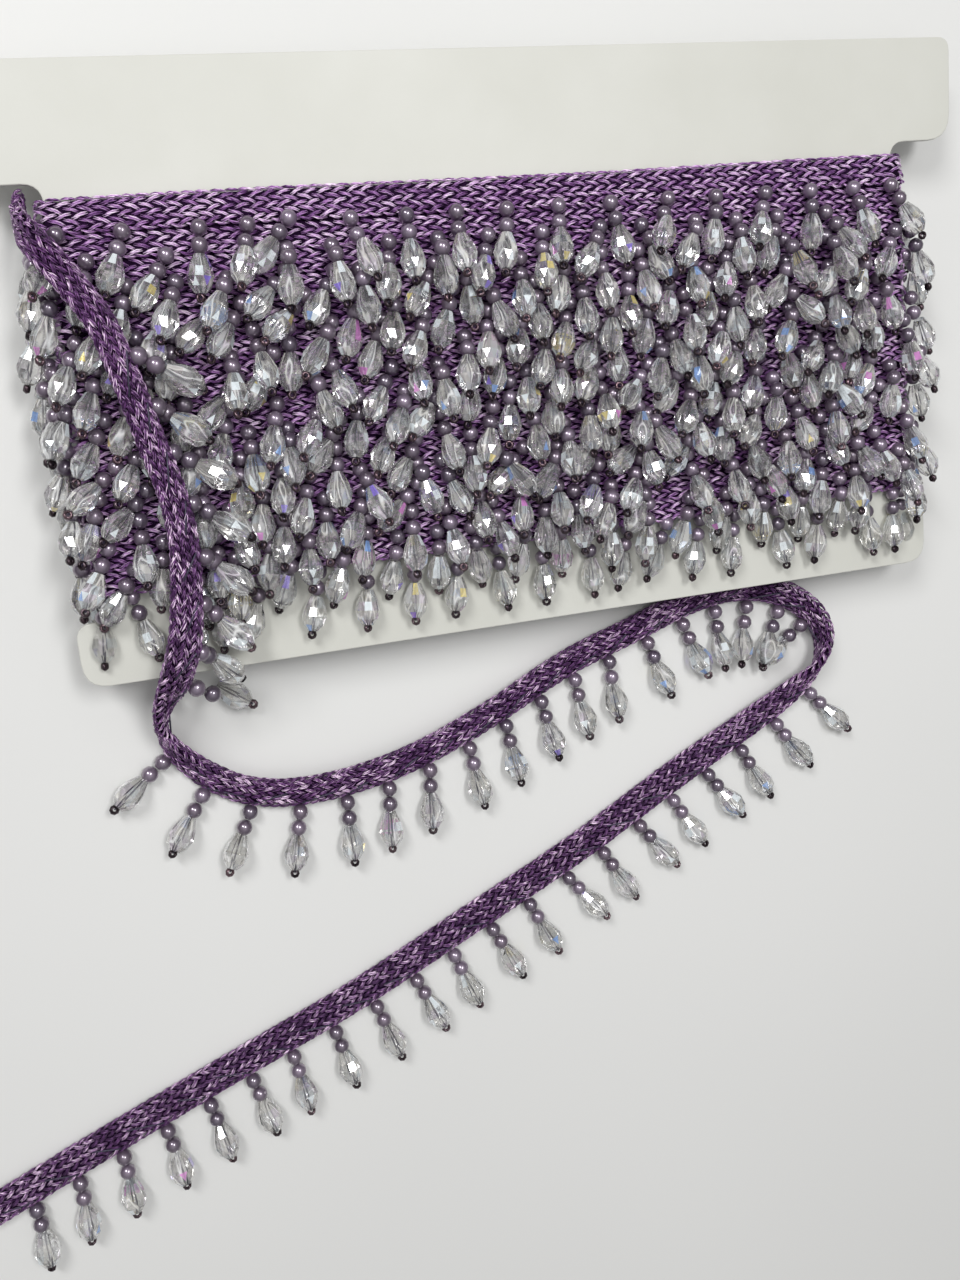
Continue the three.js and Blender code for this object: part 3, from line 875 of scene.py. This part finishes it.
def teardrop_part():
    """Axis along X from the narrow end: long flats down to the belly, then a band of kites and a
    band of short flats, turned by half a flat."""
    sides = 10
    verts, spots = [], []
    for share, radius, turn in TEARDROP_PROFILE:
        for side in range(sides):
            around = (side + turn) / sides
            reach = radius * DROP_RADIUS
            angle = 2 * math.pi * around
            verts.append((share * DROP_LENGTH, reach * math.cos(angle), reach * math.sin(angle)))
            spots.append((around, share))
    faces = []
    for ring, (above, below) in enumerate(zip(TEARDROP_PROFILE, TEARDROP_PROFILE[1:])):
        for side in range(sides):
            far = (side + 1) % sides
            a, b = ring * sides + side, ring * sides + far
            c, d = a + sides, b + sides
            faces += [(a, b, d, c)] if above[2] == below[2] else [(a, b, c), (b, d, c)]
    faces.append(tuple(range(sides)))
    faces.append(tuple(range(len(verts) - sides, len(verts))))
    mesh = tidy(mesh_from("teardrop", verts, faces, smooth=False))
    uv = mesh.uv_layers.new(name="bead")
    for face in mesh.polygons:
        shares = [spots[index][0] for index in face.vertices]
        wraps = max(shares) - min(shares) > 0.5
        for loop, index in zip(face.loop_indices, face.vertices):
            around, share = spots[index]
            uv.data[loop].uv = (around + 1 if wraps and around < 0.5 else around, share)
    facet = mesh.attributes.new("facet", "FLOAT", "FACE")
    facet_step = 0.137
    facet.data.foreach_set("value", [facet_step * number for number in range(len(mesh.polygons))])
    return bpy.data.objects.new("teardrop", mesh)


def seed_part():
    """A short ring with a hole along Z."""
    around, sides = 8, 4
    major, minor = 0.68 * SEED_RADIUS, 0.36 * SEED_RADIUS
    taller = 1.7
    verts = []
    for step in range(around):
        turn = 2 * math.pi * step / around
        for side in range(sides):
            angle = 2 * math.pi * side / sides
            reach = major + minor * math.cos(angle)
            verts.append((reach * math.cos(turn), reach * math.sin(turn), taller * minor * math.sin(angle)))
    mesh = mesh_from("seed", verts, tube_faces(around, sides, closed=True))
    return bpy.data.objects.new("seed", tidy(mesh))


def thread_part():
    """A straight length of thread along X, one unit long."""
    sides = 5
    angles = [2 * math.pi * side / sides for side in range(sides)]
    verts = [(x, THREAD_RADIUS * math.cos(angle), THREAD_RADIUS * math.sin(angle))
             for x in (0, 1) for angle in angles]
    mesh = mesh_from("thread", verts, tube_faces(2, sides))
    return bpy.data.objects.new("thread", tidy(mesh))


KINDS = {
    # part, finish, slot, scatter of size
    "pearls": (pearl_part(), PEARL, "pearl_beads", 0.02),
    "teardrops": (teardrop_part(), GLASS, "glass_drops", 0.02),
    "seed_beads": (seed_part(), SEED, "seed_beads", 0.0),
    "threads": (thread_part(), THREAD, "bead_thread", 0.0),
}


# %% [markdown]
# ## How the drops pile up
# Real beads don't pass through each other. The drops are laid one at a time, lowest turn first, as the
# trim was wound. Each bead is tested as one or more balls against every ball already laid, which gives
# the lowest height at which it rests. Several roots and headings are tried for each drop and the lowest
# lie wins, which is how a chain of beads finds its hollow. In front, a drop that would still stand too
# high is left out. This keeps most beads apart, but not all: a few still cut into each other, mainly at
# the pack's two edges.

# %% The pile
THREAD_SHOWN = 0.45 * MM
# from one pearl's middle to the next, and from a teardrop's end to the middle of its seed bead, both
# against the bead's radius
PEARL_STEP = 2.03
SEED_STEP = 0.75
# the steepest that the chain of pearls climbs, and the slopes that a teardrop may take
STEEPEST_PEARLS = 0.85
TEARDROP_SLOPES = np.linspace(-0.42, 0.42, 15)
# a sloping teardrop covers this share of its length on the surface
FLAT_SHARE = 0.985
# the balls that stand for a teardrop: share of its length, radius against its widest
TEARDROP_BALLS = [(0.16, 0.5), (0.4, 0.8), (0.64, 0.97), (0.86, 0.66)]
# where it is widest, as a share of its length, and how wide it is at the top
BELLY_PLACE = 0.6
NECK_RADIUS = 0.5
# a teardrop starts at most this far below the pearl over it
MOST_SAG = 1.6 * MM
# what a lie costs beside its height: for a bend in the chain, for a degree of heading in mm, and for
# what is over the ceiling
BEND_COST = 0.8
HEADING_COST = 0.1
CEILING_COST = 3
HEADINGS = (0, -7, 7, -14, 14, -21, 21)
TAPE_FUZZ = 0.2 * MM


def shingle_height(v):
    """Height of the wound tape's face over the card at a place up the card."""
    place = (FIRST_EDGE - v) / TURN_PITCH
    if v > ring_high.y or place > TURNS - 1:
        return 0.0
    into = place - math.floor(place) if place > 0 else 1 - min((v - FIRST_EDGE) / TAPE_WIDTH, 1)
    return GAP + WOUND_THICK + (TAPE_THICK - WOUND_THICK) * into + TAPE_FUZZ


class Pile:
    """Drops laid on a side of the pack. Local u runs along the card, v up it, h out of it."""

    def __init__(self, ceiling):
        self.ceiling = ceiling
        self.balls = np.empty((0, 4))

    def rest(self, u, v, radius):
        """Lowest height of a ball's middle at that place."""
        height = shingle_height(v) + radius
        if len(self.balls):
            reach = self.balls[:, 3] + radius
            square = reach ** 2 - (self.balls[:, 0] - u) ** 2 - (self.balls[:, 1] - v) ** 2
            near = square > 0
            if near.any():
                height = max(height, float(np.max(self.balls[near, 2] + np.sqrt(square[near]))))
        return height

    def lay(self, root, heading, commit=False):
        """The beads of one drop from a root point, in a heading over the surface."""
        u, v, h = root
        step = np.array(heading)
        pearls = []
        for gap in (THREAD_SHOWN + PEARL_RADIUS, PEARL_STEP * PEARL_RADIUS):
            flat = gap
            for _ in range(3):
                want = self.rest(u + step[0] * flat, v + step[1] * flat, PEARL_RADIUS)
                rise = np.clip(want - h, -STEEPEST_PEARLS * gap, STEEPEST_PEARLS * gap)
                flat = math.sqrt(gap ** 2 - rise ** 2)
            u, v, h = u + step[0] * flat, v + step[1] * flat, h + rise
            pearls.append(np.array([u, v, h]))
        flat_length = DROP_LENGTH * FLAT_SHARE
        wants = []
        for share, radius in TEARDROP_BALLS:
            flat = PEARL_RADIUS + share * flat_length
            wants.append(self.rest(u + step[0] * flat, v + step[1] * flat, radius * DROP_RADIUS))
        best = None
        for slope in TEARDROP_SLOPES:
            lifts = [want - slope * (PEARL_RADIUS + share * DROP_LENGTH)
                     for want, (share, _) in zip(wants, TEARDROP_BALLS)]
            start = max(max(lifts), h - MOST_SAG)
            middle = start + slope * (PEARL_RADIUS + 0.5 * DROP_LENGTH)
            cost = middle + BEND_COST * abs(start - h)
            if best is None or cost < best[0]:
                best = (cost, start, slope)
        _, start, slope = best
        direction = unit(np.array([step[0], step[1], slope]))
        top = np.array([u, v, start]) + direction * PEARL_RADIUS
        end = top + direction * DROP_LENGTH
        seed = end + direction * SEED_STEP * SEED_RADIUS
        belly = top + BELLY_PLACE * (end - top)
        highest = max(top[2] + NECK_RADIUS * DROP_RADIUS, belly[2] + DROP_RADIUS,
                      pearls[1][2] + PEARL_RADIUS)
        if commit:
            rows = [(*pearl, PEARL_RADIUS) for pearl in pearls]
            rows += [(*(top + share * (end - top)), radius * DROP_RADIUS) for share, radius in TEARDROP_BALLS]
            rows.append((*seed, SEED_RADIUS))
            self.balls = np.vstack([self.balls, rows])
        return {"root": np.array(root), "pearls": pearls, "top": top, "end": end, "direction": direction,
                "seed": seed, "highest": highest}

    def settle(self, roots, lean, headings=HEADINGS, straight=(0.0, -1.0), too_high=None):
        """Tries several headings from each root and keeps the lie that is lowest, or none at all
        where even that one is too high."""
        best = None
        for root in roots:
            for extra in headings:
                angle = math.radians(lean + extra)
                heading = (straight[0] * math.cos(angle) - straight[1] * math.sin(angle),
                           straight[0] * math.sin(angle) + straight[1] * math.cos(angle))
                drop = self.lay(root, heading)
                over = max(0, drop["highest"] - self.ceiling)
                cost = drop["highest"] + abs(extra) * HEADING_COST * MM + CEILING_COST * over
                if best is None or cost < best[0]:
                    best = (cost, root, heading, drop)
        _, root, heading, drop = best
        if too_high and too_high(drop):
            return None
        return self.lay(root, heading, commit=True)


# %% Laying the drops
EDGE_HEIGHT = GAP + TAPE_THICK - WOUND_THICK / 2
ROOT_RISE = 1.7 * MM
ROOT_TRIES = 4
ROOT_SCATTER = 2.2 * MM
MOST_LEAN = 24
STRETCHED_TURNS = 2
FRONT_CEILING = 11.5 * MM
SIDE_CEILING = 14 * MM
# heights that a front drop may reach: anywhere, and near the loose tape where that crosses the pack
FRONT_MOST = 17 * MM
TAPE_CLEARANCE = 13.6 * MM
UNDER_TAPE = 8 * MM
ON_THE_PACK = 20 * MM
crossing_tape = fine_points[fine_lift > ON_THE_PACK][:, :2]


def lay_side(pile, columns_of, lean_spread, lean_mean=0.0, too_high=None):
    """All the drops of one side of the pack, lowest turn first. The tape gives a little, so each
    drop has a few roots to choose from."""
    drops = []
    for turn in reversed(range(TURNS)):
        for column in random.permutation(columns_of(turn)):
            roots = [(column + shift, lower_edge(turn) + ROOT_RISE, EDGE_HEIGHT)
                     for shift in random.normal(0, ROOT_SCATTER, ROOT_TRIES)]
            lean = lean_mean + np.clip(random.normal(0, lean_spread), -MOST_LEAN, MOST_LEAN)
            drops.append(pile.settle(roots, lean, too_high=too_high))
    return [drop for drop in drops if drop]


def columns(turn, spacing=DROP_SPACING, across=DROPS_ACROSS):
    """Roots along a face of the pack, every other turn set off by half a spacing."""
    count = across - turn % 2
    return (np.arange(count) - (count - 1) / 2) * spacing


def front_columns(turn):
    """Below the first turns the tape is less stretched in front, so the drops stand closer."""
    return columns(turn) if turn < STRETCHED_TURNS else columns(turn, PACKED_SPACING, PACKED_ACROSS)


def side_column(turn):
    """One root where each turn goes round the card's edge."""
    return [0.0]


def too_high_in_front(drop):
    """Whether a drop stands out of the pack, or reaches the loose tape where that crosses it."""
    middle = (drop["top"] + drop["end"])[:2] / 2
    away = np.min(np.linalg.norm(crossing_tape - middle, axis=1))
    return drop["highest"] > (TAPE_CLEARANCE if away < UNDER_TAPE else FRONT_MOST)


front_pile = Pile(FRONT_CEILING)
front_drops = lay_side(front_pile, front_columns, lean_spread=12, lean_mean=-9, too_high=too_high_in_front)
back_drops = lay_side(Pile(CARD_BACK), columns, lean_spread=6)
left_drops = lay_side(Pile(SIDE_CEILING), side_column, lean_spread=9)
right_drops = lay_side(Pile(SIDE_CEILING), side_column, lean_spread=9)
for label, drops in (("front", front_drops), ("back", back_drops), ("left", left_drops)):
    print(label, len(drops), "highest, mm:", round(max(d["highest"] for d in drops) / MM, 1))


# %% [markdown]
# ## From the pile to beads
# A drop laid in local places is turned into the model's frame. The back pile is pressed flat against the
# surface that the pack rests on, so nothing there may reach below it.

# %% Turning drops into bead places
X, Y, Z = np.eye(3)


def moved(drop, axes, origin):
    """A drop in the model's frame."""
    turn = np.array(axes).T
    there = {key: turn @ drop[key] + origin for key in ("root", "top", "end", "seed")}
    there["pearls"] = [turn @ pearl + origin for pearl in drop["pearls"]]
    there["direction"] = turn @ drop["direction"]
    there["out"] = turn @ Z
    return there


def all_moved(drops, axes, origin):
    """The drops of one side in the model's frame."""
    return [moved(drop, axes, np.array(origin)) for drop in drops]


def pressed(drop):
    """Lifts the beads of a drop behind the card so that none reaches below the surface."""
    for pearl in drop["pearls"]:
        pearl[2] = max(pearl[2], PEARL_RADIUS)
    top, end = drop["top"], drop["end"]
    tip_radius = 0.55 * DROP_RADIUS
    top[2] = max(top[2], tip_radius)
    end[2] = max(end[2], tip_radius)
    widest_at = 0.66
    belly = top + widest_at * (end - top)
    lack = max(0.0, DROP_RADIUS - belly[2])
    top[2] += lack
    end[2] += lack
    drop["direction"] = unit(end - top)
    drop["end"] = top + drop["direction"] * DROP_LENGTH
    drop["seed"] = drop["end"] + drop["direction"] * SEED_STEP * SEED_RADIUS
    drop["seed"][2] = max(drop["seed"][2], SEED_RADIUS)
    return drop


front = all_moved(front_drops, (X, Y, Z), (0, 0, CARD_FRONT))
back = [pressed(drop) for drop in all_moved(back_drops, (X, Y, -Z), (0, 0, CARD_BACK))]
left = all_moved(left_drops, (Z, Y, -X), (-WAIST_HALF, 0, CARD_MIDDLE))
right = all_moved(right_drops, (Z, Y, X), (WAIST_HALF, 0, CARD_MIDDLE))


def thread_sizes(runs):
    """A thread is as long as its run and keeps its thickness."""
    return np.column_stack([np.linalg.norm(runs, axis=1), np.ones((len(runs), 2))])


def bead_pieces(prefix, drops, seed, grown=1.0):
    """The pearls, teardrops, seed beads and threads of a set of drops, each as one piece."""
    count = len(drops)
    tone = np.random.default_rng(seed).uniform(0, 1, (count, 4))
    spin = np.random.default_rng(seed + 1).uniform(0, 2 * math.pi, count)
    directions, outs, roots, pearls, tops, seeds = (
        np.array([drop[key] for drop in drops])
        for key in ("direction", "out", "root", "pearls", "top", "seed"))
    sides = unit(np.cross(outs, directions))
    lifted = np.cross(directions, sides)
    turned = lifted * np.cos(spin)[:, None] + sides * np.sin(spin)[:, None]
    # a seed bead sits a little askew on its thread
    hole = unit(lifted + 0.6 * np.sin(spin)[:, None] * sides + 0.5 * np.cos(spin)[:, None] * directions)
    runs = np.vstack([pearls[:, 0] - roots, seeds - tops])
    both_outs = np.vstack([outs, outs])
    sizes = np.full((2 * count, 3), grown)
    made = {
        "pearls": (np.vstack([pearls[:, 0], pearls[:, 1]]),
                   quaternions(np.vstack([directions, directions]), both_outs),
                   sizes, np.concatenate([tone[:, 0], tone[:, 1]])),
        "teardrops": (tops, quaternions(directions, turned), sizes[:count], tone[:, 2]),
        "seed_beads": (seeds, quaternions(directions, hole), sizes[:count], tone[:, 3]),
        "threads": (np.vstack([roots, tops]), quaternions(runs, both_outs), thread_sizes(runs),
                    np.zeros(2 * count)),
    }
    pieces = {}
    for kind, places in made.items():
        part, finish, slot, scatter = KINDS[kind]
        piece = place(f"{prefix}_{kind}", part, finish, *places, scatter, seed)
        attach(piece, "root")
        pieces[kind] = piece
    return pieces


front_pieces = bead_pieces("front", front + left + right, seed=11)
back_pieces = bead_pieces("back", back, seed=23)
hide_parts(*[f"front_fringe_{turn + 1:02d}" for turn in range(TURNS)])
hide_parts("back_fringe")

# %% [markdown]
# ## The drops of the loose end
# On the surface a drop lies level: pearls on their round, the teardrop on one of its long facets, so its
# wide end stands a little off the surface. Over the pack the drops lie on the beads below them. Leans
# are in degrees from straight out, towards the way the tape runs.

# %% Loose drops
LOOSE_ROWS = [
    # first distance in mm, drops, spacing in mm, lean of the first and of the last
    (55, 7, 13.4, 44, 32),
    (150, 2, 20, 26, 8),
    (183, 6, 13.8, 8, -16),
    (265.8, 6, 13.8, -22, -10),
    (348.6, 6, 13.8, 4, -4),
    (444, 7, 15.1, -3, -6),
    (549.7, 7, 15.1, -5, 8),
    (655.4, 7, 15.1, 9, 18),
]
LOOSE_SIZE = 1.09
LOOSE_STRIPS = 7
LOOSE_HEADINGS = (0, 6, -6, 12, -12)
LEAN_SCATTER = 4
# the root's distance from the tape's middle, as a share of its width
EDGE_SHARE = 0.47
CLEAR_OF_SURFACE = 0.1 * MM
NECK_CLEARANCE = 0.15 * MM
LOOSE_THREAD_SHOWN = 0.6 * MM
# each pearl lies at most this far below what comes before it
FIRST_FALL = 1.5 * MM
SECOND_FALL = 2.8 * MM


def loose_drop(distance, lean):
    """A drop from the tape's beaded edge, lying on what the tape lies on."""
    middle, along, edge, _, lift = (value[0] for value in route_frame(distance))
    root = middle + edge * TAPE_WIDTH * EDGE_SHARE * narrowing(distance)
    outward, ahead = (unit(np.array([way[0], way[1], 0])) for way in (edge, along))
    turn = math.radians(lean)
    heading = unit(outward * math.cos(turn) + ahead * math.sin(turn))
    if lift > ON_THE_PACK:
        face = np.array([0, 0, CARD_FRONT])
        drop = front_pile.settle([root - face], 0, LOOSE_HEADINGS, (heading[0], heading[1]))
        return moved(drop, (X, Y, Z), face)
    pearl, length, wide = (LOOSE_SIZE * size for size in (PEARL_RADIUS, DROP_LENGTH, DROP_RADIUS))
    first = root + heading * (LOOSE_THREAD_SHOWN + pearl)
    first[2] = max(CLEAR_OF_SURFACE + pearl, root[2] - FIRST_FALL)
    second = first + heading * PEARL_STEP * pearl
    second[2] = max(CLEAR_OF_SURFACE + pearl, first[2] - SECOND_FALL)
    neck = TEARDROP_PROFILE[0][1]
    belly_share, belly, _ = TEARDROP_PROFILE[2]
    facet_slope = (belly - neck) * wide / (belly_share * length)
    direction = unit(heading + np.array([0, 0, facet_slope]))
    top = second + heading * pearl
    top[2] = CLEAR_OF_SURFACE + neck * wide + NECK_CLEARANCE
    end = top + direction * length
    seed_ahead, seed_fall = 0.8, np.array([0, 0, -0.5 * SEED_RADIUS])
    seed = end + heading * seed_ahead * SEED_RADIUS + seed_fall
    return {"root": root, "pearls": [first, second], "top": top, "end": end, "direction": direction,
            "seed": seed, "out": Z}


loose_drops = []
for first, count, spacing, lean_first, lean_last in LOOSE_ROWS:
    for number in range(count):
        lean = lean_first + (lean_last - lean_first) * number / (count - 1) + random.normal(0, LEAN_SCATTER)
        loose_drops.append(loose_drop((first + spacing * number) * MM, lean))
loose_pieces = bead_pieces("loose", loose_drops, seed=37, grown=LOOSE_SIZE)

# %% Thread lengths on the loose tape
def thread_lengths():
    """The bead thread runs on from drop to drop and shows as a slanting length on each face."""
    starts = np.concatenate([(first + spacing * np.arange(count)) * MM
                             for first, count, spacing, _, _ in LOOSE_ROWS])
    reach = random.uniform(7, 11, len(starts)) * MM
    crossing = random.uniform(-0.15, 0.2, len(starts))[:, None] * TAPE_WIDTH
    start_share, end_share = 0.42, 0.5
    points, ends, outs = [], [], []
    for side in (-1, 1):
        middle, _, edge, face = tape_frame(starts)
        points.append(middle + edge * TAPE_WIDTH * start_share + side * face * TAPE_THICK * start_share)
        middle, _, edge, face = tape_frame(np.minimum(starts + reach, ROUTE_LENGTH))
        ends.append(middle + edge * crossing + side * face * TAPE_THICK * end_share)
        outs.append(side * face)
    points, ends, outs = (np.vstack(rows) for rows in (points, ends, outs))
    # a length that faces the surface isn't needed
    seen = outs[:, 2] > -0.5
    points, runs, outs = points[seen], (ends - points)[seen], outs[seen]
    part, finish, _, _ = KINDS["threads"]
    piece = place("loose_thread_lengths", part, finish, points, quaternions(runs, outs), thread_sizes(runs),
                  np.zeros(len(runs)))
    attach(piece, "root")
    return piece


loose_pieces["lengths"] = thread_lengths()
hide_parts(*[f"loose_fringe_{number + 1}" for number in range(LOOSE_STRIPS)])

# %% [markdown]
# ## Floor and light
# A pale floor and soft light show the beads as they are. Two panel lamps overhead give each pearl its pair
# of sharp highlights, and a sky that is bright above and grey at the horizon gives the glass something to
# bend.

# %% Floor
FLOOR_HALF = 12.0
FLOOR = simple_finish("pale_floor", [(0.3, "#d6d6d4"), (0.7, "#dbdbd9")], {"Roughness": 0.6}, grain=3.0)
corners = [(FLOOR_HALF * x, FLOOR_HALF * y, 0) for x, y in ((-1, -1), (1, -1), (1, 1), (-1, 1))]
floor_mesh = mesh_from("floor", corners, [(0, 1, 2, 3)])
floor_mesh.materials.append(FLOOR)
floor = linked("floor", floor_mesh)


# %% Light
PANEL_SIZE = (0.26, 0.44)
PANEL_TARGET = Vector((0.05, -0.1, 0))


def lamp(name, place_at, watts):
    """A panel that shines on the middle of the trim."""
    data = bpy.data.lights.new(name, "AREA")
    data.shape = "RECTANGLE"
    data.size, data.size_y = PANEL_SIZE
    data.energy = watts
    made = linked(name, data)
    made.location = place_at
    made.rotation_euler = (PANEL_TARGET - Vector(place_at)).to_track_quat("-Z", "Y").to_euler()


lamp("panel_left", (-0.54, 0.64, 0.92), 7.2)
lamp("panel_right", (0.2, 0.36, 1.18), 6.9)

world = bpy.data.worlds.new("soft_sky")
scene.world = world
world.use_nodes = True
sky = world.node_tree
sky.nodes.clear()
sky_place = node(sky, "ShaderNodeTexCoord")
sky_split = node(sky, "ShaderNodeSeparateXYZ", {0: sky_place.outputs["Generated"]})
sky_colour = ramp(sky, sky_split.outputs[2],
                  [(0.0, "#868688"), (0.25, "#505052"), (0.38, "#d4d4d6"), (0.5, "#6c6c6e"),
                   (0.66, "#f0f0f0"), (0.76, "#848486"), (0.88, "#ffffff")])
sky_shader = node(sky, "ShaderNodeBackground", {"Color": sky_colour, "Strength": 0.7})
node(sky, "ShaderNodeOutputWorld", {"Surface": sky_shader.outputs[0]})

scene.view_settings.view_transform = "Standard"
scene.cycles.max_bounces = 12
scene.cycles.transmission_bounces = 10
scene.cycles.caustics_refractive = True
scene.cycles.blur_glossy = 1.0
